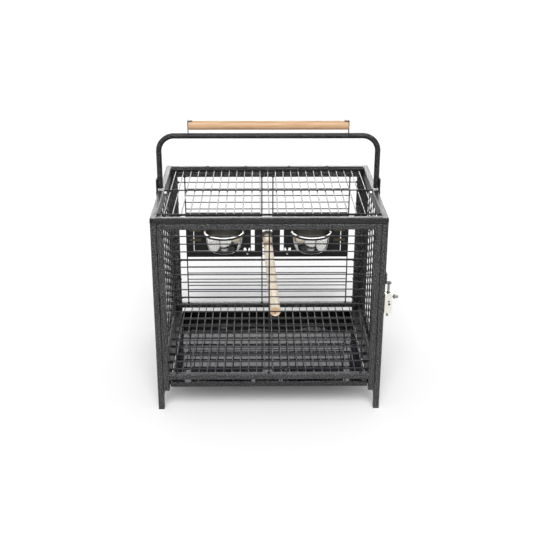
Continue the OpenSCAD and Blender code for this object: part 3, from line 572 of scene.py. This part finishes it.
# Feeder sheets and doors
# Thin black steel sheets welded to the back uprights, each with an opening closed by a
# swinging sheet door. Sheet and door have a folded edge along the hinge line, which closes
# most of the gap between them except at the hinges.
HINGE_X, HINGE_H, HINGES = 0.1803, 0.007, (0.2575, 0.2835)
SHEET_Y, SHEET_T, SHEET_ROUND = 0.17403, 0.0012, 0.0003
FEEDER_LOW, FEEDER_HIGH, HEM_SHORT = 0.2285, 0.3125, 0.0005
HEM_FAR, SHEET_HEM, DOOR_HEM = 0.0019, 0.0011, 0.0003
HINGE_SPAN = HINGE_H / 2 + 0.0006
HEMS = ((FEEDER_LOW + HEM_SHORT, HINGES[0] - HINGE_SPAN),
        (HINGES[0] + HINGE_SPAN, HINGES[1] - HINGE_SPAN),
        (HINGES[1] + HINGE_SPAN, FEEDER_HIGH - HEM_SHORT))


def hem(near, far, low, high):
    """A folded edge of the sheet, between two distances across and two heights."""
    return bar((near, SHEET_Y - SHEET_T / 2, low), (far, SHEET_Y + SHEET_T / 2, high), 2, SHEET_ROUND)


for side, name in ((-1, "left"), (1, "right")):
    x = side * HINGE_X
    sheet_parts = [softened(name + "_feeder_sheet", SHEET_ROUND)]
    door_parts = [softened(name + "_feeder_door", SHEET_ROUND)]
    for low, high in HEMS:
        sheet_parts.append(hem(x + side * SHEET_HEM, x + side * HEM_FAR, low, high))
        door_parts.append(hem(x - side * HEM_FAR, x - side * DOOR_HEM, low, high))
    sheet = join(name + "_hemmed_sheet", sheet_parts)
    hand_over(sheet, black_steel, "cage", "sheet_black", name + "_feeder_sheet")
    door = join(name + "_hemmed_door", door_parts)
    hand_over(door, black_steel, name + "_feeder", "sheet_black", name + "_feeder_door")

# Feeder hinges and turn latches
# Small dull brass butt hinges on the inner face, and outside a flat turn latch on a rivet
# below each door, that stands in a notch of the door's lower edge.
TURN_ROUND = 0.0004
dull_brass = bare_metal("dull_brass", (0.06, 0.05, 0.035), (0.2, 0.165, 0.11), 0.34, 0.16, (0.0015, 3.0))
paint(nickel, "turn_latch_rivets")
for name in ("left", "right"):
    paint(dull_brass, name + "_fixed_leaves", name + "_door_leaves")
    latch = join(name + "_rounded_turn_latch", [softened(name + "_turn_latch", TURN_ROUND)])
    hand_over(latch, black_steel, name + "_turn_piece", "sheet_black", name + "_turn_latch")

# Food cups and their rings
# Spun stainless steel cups, polished outside and satin inside, with a rolled rim that hangs
# on a ring of black wire. The inside and the outer faces that turn up are also painted darker,
# as painted shade. The ring's two arms are welded to a strap on the feeder door.
CUP_X, CUP_Y, CUP_TOP, CUP_H = 0.104, 0.11243, 0.303, 0.046
RIM_R, BODY_R, FOOT_R, CUP_T, RIM_T = 0.048, 0.0445, 0.029, 0.001, 0.0012
ROLL_R = RIM_T / 2

polished = Finish("polished_stainless", (0.8, 0.79, 0.77), 0.07, metallic=1.0)
spun = polished.noise(0.0006, stretch=(0.03, 0.03, 1))
# Painted shade: the inside marks make the cup's colour darker inside and on the outer faces that turn up;
# they also make those faces rougher, as satin.
inside = polished.add("ShaderNodeVertexColor", {"layer_name": "inside"}, {})
polished.feed("Base Color", polished.blend(inside, (0.8, 0.79, 0.77), (0.3, 0.29, 0.27)))
polished.feed("Roughness", 0.07 + spun * 0.06 + inside * 0.2)
polished.bump(spun, 0.00001, 0.2)
paint(wire_coat, "left_cup_ring", "right_cup_ring")


def cup_wall(inset):
    """Points up one side of the cup's wall, from its foot to just under its rim."""
    points = []
    for degrees in range(0, 96, 6):
        turn = math.radians(degrees)
        out = FOOT_R - inset + (BODY_R - FOOT_R) * math.sin(turn) ** 0.8
        up = CUP_TOP - CUP_H + inset + (CUP_H - RIM_T - inset) * (1 - math.cos(turn)) ** 1.1
        points.append((out, up))
    return points


def rolled_rim():
    """Points round the outer half of the rim, from below to above."""
    turns = [math.radians(degrees) for degrees in range(0, 181, 30)]
    middle = CUP_TOP - ROLL_R
    return [(RIM_R - ROLL_R + ROLL_R * math.sin(t), middle - ROLL_R * math.cos(t)) for t in turns]


def mark_painted_shade(cup):
    """Marks where the cup is painted darker as painted shade: faces turned to its axis with 1, and the
    others by how far they face up.
    """
    marks = cup.data.color_attributes.new("inside", "FLOAT_COLOR", "CORNER")
    for face in cup.data.polygons:
        inwards = face.normal.dot((face.center.x, face.center.y, 0)) < 0
        dull = 1.0 if inwards else max(0.0, face.normal.z)
        for corner in face.loop_indices:
            marks.data[corner].color = (dull, dull, dull, 1)


outer, inner = cup_wall(0), cup_wall(CUP_T)
cup_profile = [(0.001, outer[0][1]), *outer, *rolled_rim()]
cup_profile += [(inner[-1][0], CUP_TOP), *reversed(inner), (0.001, inner[0][1])]
for side, name in ((-1, "left"), (1, "right")):
    cup = lathe(cup_profile, 96)
    mark_painted_shade(cup)
    cup.data.transform(Matrix.Translation((side * CUP_X, CUP_Y, 0)))
    hand_over(join(name + "_spun_cup", [cup], 50), polished, name + "_food_cup", "cup_steel", name + "_cup")

# Perch
# A pale hardwood dowel left bare, with fine turning marks, a brown knot near its rear end
# and darker end grain. Its front end is slotted over a wire, and a bolt, two washers and
# a wing nut clamp its rear end to the back grille.
PERCH_R, PERCH_EASE, PERCH_TRIM = 0.011, 0.0018, 0.0011
PERCH_FRONT, PERCH_BACK = Vector((0.013, -0.18017, 0.233)), Vector((0, 0.17313, 0.262))
END_FACE, KNOT, SLOT_SHADE_SPOT = (-0.1792, -0.1776), (0.004, 0.125, 0.262), (0.0128, -0.1795, 0.2302)
SLOT_LOW, SLOT_HIGH = (0, -0.1825, 0.23265), (0.026, -0.17727, 0.23595)

bare = Finish("bare_perch_wood", (0.8, 0.69, 0.53), 0.62)
grain = bare.noise(0.0045, 4.0, stretch=(1, 0.06, 1), roughness=0.6)
rings = bare.noise(0.0022, 1.0, stretch=(0.05, 1, 0.05))
body_tone = bare.blend(grain.ramp(0.4, 0.75), (0.98, 0.89, 0.73), (0.78, 0.62, 0.43))
body_tone = bare.blend(rings.ramp(0.58, 0.72) * 0.25, body_tone, (0.55, 0.4, 0.25))
knot = (1 - bare.away(KNOT).ramp(0.008, 0.02)) * (0.4 + grain)
body_tone = bare.blend(knot, body_tone, (0.33, 0.19, 0.1))
# Painted shade: a dark spot on the front end grain, by the slot, stands for the shade in it; the rest of
# the end grain keeps its own darker tone.
end_tone = bare.blend(bare.away(SLOT_SHADE_SPOT).ramp(0.001, 0.0034), (0.12, 0.045, 0.012), (0.5, 0.315, 0.185))
bare.feed("Base Color", bare.blend(1 - bare.axis(1).ramp(*END_FACE), body_tone, end_tone))
bare.feed("Roughness", 0.55 + grain * 0.15)
bare.bump(grain + rings * 0.5, 0.00015, 0.5)

run = PERCH_BACK - PERCH_FRONT
perch = lathe(eased(PERCH_R, run.length - 2 * PERCH_TRIM, PERCH_EASE), 40)
perch.data.transform(aimed(PERCH_FRONT + run.normalized() * PERCH_TRIM, run))
cut_away(perch, block(SLOT_LOW, SLOT_HIGH))
hand_over(join("turned_perch", [perch], 50), bare, "cage", "perch_wood", "perch")
paint(nickel, "perch_bolt", "perch_wing_nut")
paint(zinc, "perch_washers")

# Floor grate
# A loose mat of black wires that lies on the runners' ledge over the tray. Claws and cleaning
# have scuffed its coat duller than the grilles'.
GRATE_Z, GRATE_ROWS = 0.0769, [0.11 - 0.036 * j for j in range(8)]
scuffed = Finish("scuffed_wire_coat", (0.03, 0.03, 0.031), 0.5, specular=0.3)
scuff = scuffed.noise(0.003, 3.0)
scuffed_tone = scuffed.blend(scuff.ramp(0.4, 0.65), (0.015, 0.015, 0.016), (0.036, 0.036, 0.038))
scuffed.feed("Base Color", scuffed_tone)
scuffed.feed("Roughness", 0.45 + scuff * 0.15)
scuffed.bump(scuff, 0.0001, 0.5)
paint(scuffed, "floor_grate")
welds("grate_welds", "cage",
      [(MAT_PITCH * (i + 0.5), y, GRATE_Z) for i in range(-12, 12) for y in GRATE_ROWS])
bpy.data.objects.remove(nugget)

# Tray and runners
# A shallow folded steel tray in gloss black enamel, with its front lip coated like the
# frame. It slides on two folded runners fixed to the lower side rails.
LIP_Y, NEAR_Y, REAR_Y, TRAY_ROUND = (-0.18395, -0.18365), (-0.17, -0.16), (0.06, 0.09), 0.0005
tray_enamel = Finish("tray_enamel", (0.003, 0.003, 0.006), 0.1, coat=1.0, specular=0.25)
tray_enamel.shader.inputs["Coat IOR"].default_value = 1.75
lip = 1 - tray_enamel.axis(1).ramp(*LIP_Y)
# Painted dark reflection: the tray floor is painted plain black, with no gloss coat, at its rear and along
# the strip behind the lip, for the dark that it mirrors there.
near = 1 - tray_enamel.axis(1).ramp(*NEAR_Y)
painted_dark_ends = tray_enamel.axis(1).ramp(*REAR_Y) + near
speck = tray_enamel.noise(PEBBLE)
warp = tray_enamel.noise(0.11, 1.0)
lip_tone = tray_enamel.blend(speck.ramp(*FLECK), BLACK, (0.08, 0.08, 0.085))
floor_tone = tray_enamel.blend(painted_dark_ends, (0.014, 0.014, 0.024), BLACK)
tray_enamel.feed("Base Color", tray_enamel.blend(lip, floor_tone, lip_tone))
tray_enamel.feed("Roughness", 0.008 + warp * 0.01 + near * 0.35)
tray_enamel.feed("Coat Weight", 1 - painted_dark_ends)
tray_enamel.bump(warp * 0.0008 + speck * lip * 0.0005, 1.0)
tray = join("folded_tray", [softened("tray", TRAY_ROUND)])
hand_over(tray, tray_enamel, "tray_body", "tray_gloss", "tray")
paint(black_steel, "tray_runners")

# White floor, light and camera
# A product photo on seamless white: even light all round and a soft sun from the front. Only
# reflections see the strip behind, which lights the lid and its wires, and the dark lower
# part of the studio, which darkens what the tray mirrors; the tray's rear is also painted black,
# as a painted dark reflection. The photo's straight edges give the camera.
DUSK_W, DUSK_H, DUSK_Y, DUSK_Z = 24, 4.7, 9.0, 2.36
STRIP_W, STRIP_H, STRIP_PLACE = 12.0, 1.3, (0, 8.0, 3.1)
SENSOR, PHOTO_PX, FOCAL_PX, SHIFT_PX = 36, 540, 889.716, -34
STAND, TURN, TILT, ROLL = (-0.023671, -1.8655, 1.062307), -0.0148182, -0.3717365, 0.0026884


class Studio(Finish):
    """The nodes of the floor's paint or of the world, begun from nothing."""

    def __init__(self, owner):
        owner.use_nodes = True
        self.tree = owner.node_tree
        self.tree.nodes.clear()

    def ray(self, kind):
        """1 where the light path is of this kind."""
        return self.add("ShaderNodeLightPath", {}, {}, f"Is {kind} Ray")

    def white(self, strength):
        """An even white light."""
        return self.add("ShaderNodeBackground", {}, {"Color": (1, 1, 1, 1), "Strength": strength})


def studio_sheet(name, material, size, **placed):
    """A flat sheet of the studio, which isn't part of the object."""
    deselect()
    bpy.ops.mesh.primitive_plane_add(size=size, **placed)
    sheet = bpy.context.object
    sheet.name = name
    sheet.data.materials.append(material)
    return sheet


def hang(lamp, toward, place=(0, 0, 0)):
    """Hangs a lamp in the studio, turned the way its light goes."""
    holder = bpy.data.objects.new(lamp.name, lamp)
    holder.location = place
    holder.rotation_euler = Vector(toward).to_track_quat("-Z", "Y").to_euler()
    bpy.context.scene.collection.objects.link(holder)
    return holder


paper = bpy.data.materials.new("studio_white")
floor = Studio(paper)
matt = floor.add("ShaderNodeBsdfDiffuse", {}, {"Color": (0.9, 0.9, 0.9, 1)})
glow = floor.add("ShaderNodeEmission", {}, {"Strength": floor.ray("Camera") * 0.06})
both = floor.add("ShaderNodeAddShader", {}, {0: matt, 1: glow})
floor.add("ShaderNodeOutputMaterial", {}, {"Surface": both})
studio_sheet("studio_floor", paper, 40, location=(0, 0, 0))

black = Finish("studio_black", (0.01, 0.01, 0.01), 0.5)
upright = (math.pi / 2, 0, 0)
dusk = studio_sheet("studio_dusk", black.material, 1, location=(0, DUSK_Y, DUSK_Z), rotation=upright)
dusk.scale = (DUSK_W, DUSK_H, 1)
dusk.visible_camera = dusk.visible_diffuse = dusk.visible_shadow = dusk.visible_transmission = False

world = bpy.data.worlds.new("studio")
bpy.context.scene.world = world
air = Studio(world)
mirrored = air.add("ShaderNodeMath", {"operation": "MAXIMUM"}, {0: air.ray("Camera"), 1: air.ray("Glossy")})
seen = air.add("ShaderNodeMath", {"operation": "MAXIMUM"}, {0: mirrored, 1: air.ray("Transmission")})
surround = air.add("ShaderNodeMixShader", {}, {0: seen, 1: air.white(0.57), 2: air.white(1.0)})
air.add("ShaderNodeOutputWorld", {}, {"Surface": surround})

sun = bpy.data.lights.new("key", "SUN")
sun.energy, sun.angle = 2.3, math.radians(35)
hang(sun, (0.0, 0.85, -1.0))
strip = bpy.data.lights.new("back_strip", "AREA")
strip.shape, strip.size, strip.size_y, strip.energy = "RECTANGLE", STRIP_W, STRIP_H, 850
strip_holder = hang(strip, (0, -8.0, -2.7), STRIP_PLACE)
strip_holder.visible_camera = strip_holder.visible_diffuse = False

lens = bpy.data.cameras.new("photo_camera")
lens.sensor_width, lens.lens, lens.shift_y = SENSOR, FOCAL_PX / PHOTO_PX * SENSOR, SHIFT_PX / PHOTO_PX
camera = bpy.data.objects.new("photo_camera", lens)
bpy.context.scene.collection.objects.link(camera)
camera.matrix_world = (Matrix.Translation(STAND) @ Matrix.Rotation(TURN, 4, "Z")
                       @ Matrix.Rotation(TILT + math.pi / 2, 4, "X") @ Matrix.Rotation(ROLL, 4, "Z"))
bpy.context.scene.camera = camera
bpy.context.scene.view_settings.view_transform = "Standard"
